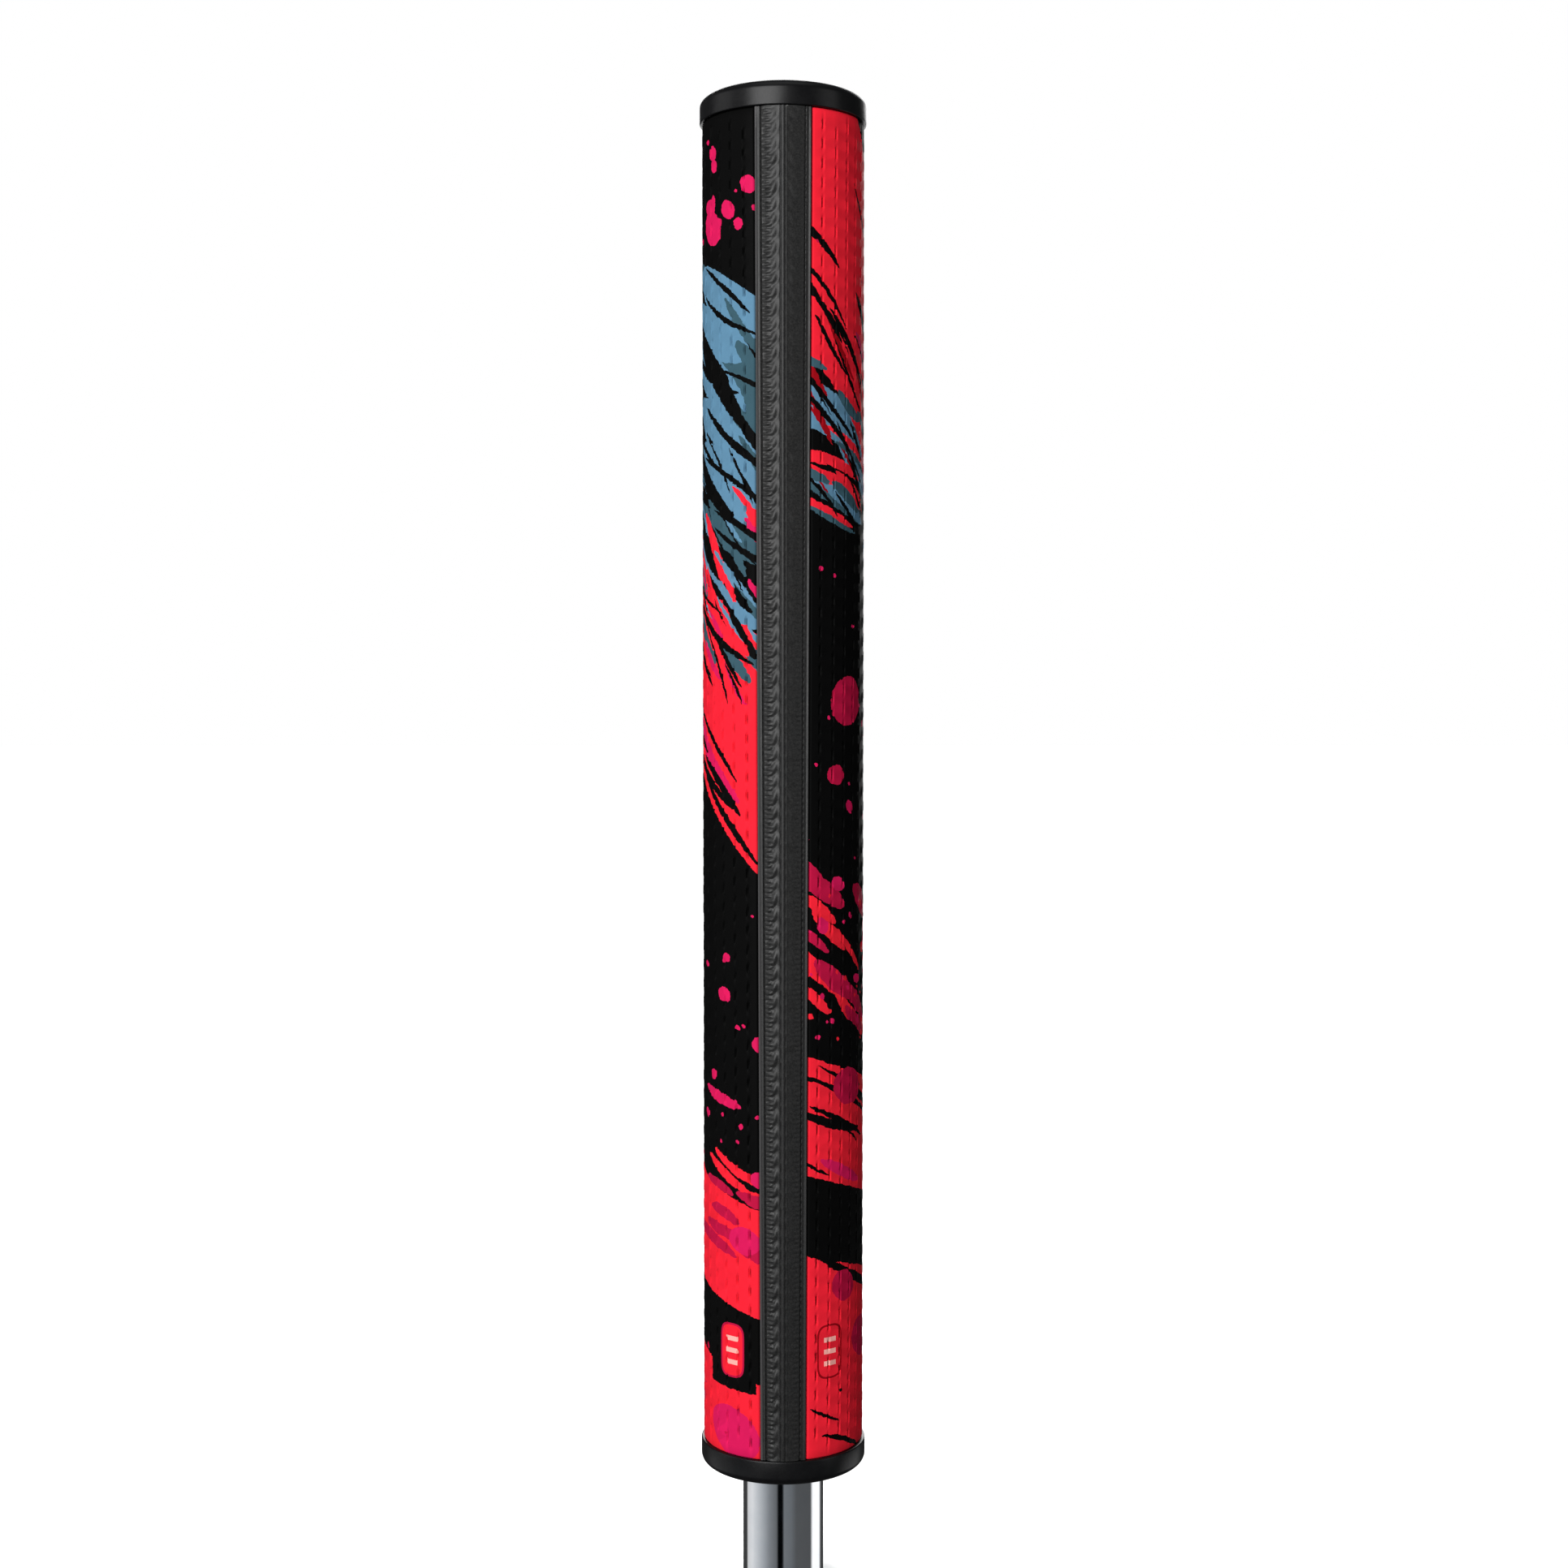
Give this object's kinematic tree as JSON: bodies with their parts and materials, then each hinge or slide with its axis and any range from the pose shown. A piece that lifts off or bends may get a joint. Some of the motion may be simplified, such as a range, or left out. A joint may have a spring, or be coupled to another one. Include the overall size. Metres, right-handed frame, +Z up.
{
  "type": "putter grip",
  "caption": "Straight midsize putter grip with a printed wrap, a raised spine strip, a butt cap with a screw-plugged port and a mouth ring, on the butt end of its steel shaft.",
  "frame": {"origin": "on the shaft's axis, at the cut lower end of the shaft section", "axes": "+Z up the shaft to the butt cap, -Y to the back with the spine strip, +Y to the flat thumb side"},
  "size_m": [0.031, 0.0295, 0.2804],
  "materials": {
    "chromed_steel": "polished chrome plate on a steel tube",
    "tape": "double-sided crepe tape",
    "foam": "closed-cell foam, matt",
    "backing": "thin non-woven cloth",
    "printed_skin": "soft satin polyurethane, embossed and printed",
    "strip_rubber": "satin moulded polyurethane with ribbed flanks",
    "cap_rubber": "moulded rubber, satin",
    "insert_nylon": "moulded nylon",
    "plug_nylon": "fine-textured nylon",
    "seal_rubber": "smooth nitrile rubber"
  },
  "bodies": {
    "grip": {"shaft_tube": "chromed_steel", "grip_tape": "tape", "foam_core": "foam", "textile_backing": "backing", "outer_skin": "printed_skin", "spine_strip": "strip_rubber", "butt_cap": "cap_rubber", "mouth_ring": "cap_rubber", "port_insert": "insert_nylon"},
    "seal": {"plug_seal": "seal_rubber"},
    "plug": {"port_plug": "plug_nylon"}
  },
  "joints": [
    {"name": "plug_rise", "type": "slide", "parent": "grip", "child": "seal", "axis": [0, 0, 1], "range_m": [0, 0.006]},
    {"name": "plug_turn", "type": "hinge", "parent": "seal", "child": "plug", "pos_m": [0, 0, 0.2803], "axis": [0, 0, 1], "range_deg": [0, 1440]}
  ],
  "couplings": [
    {"joint": "plug_turn", "follows": "plug_rise", "rad_per_m": 4188.8}
  ]
}
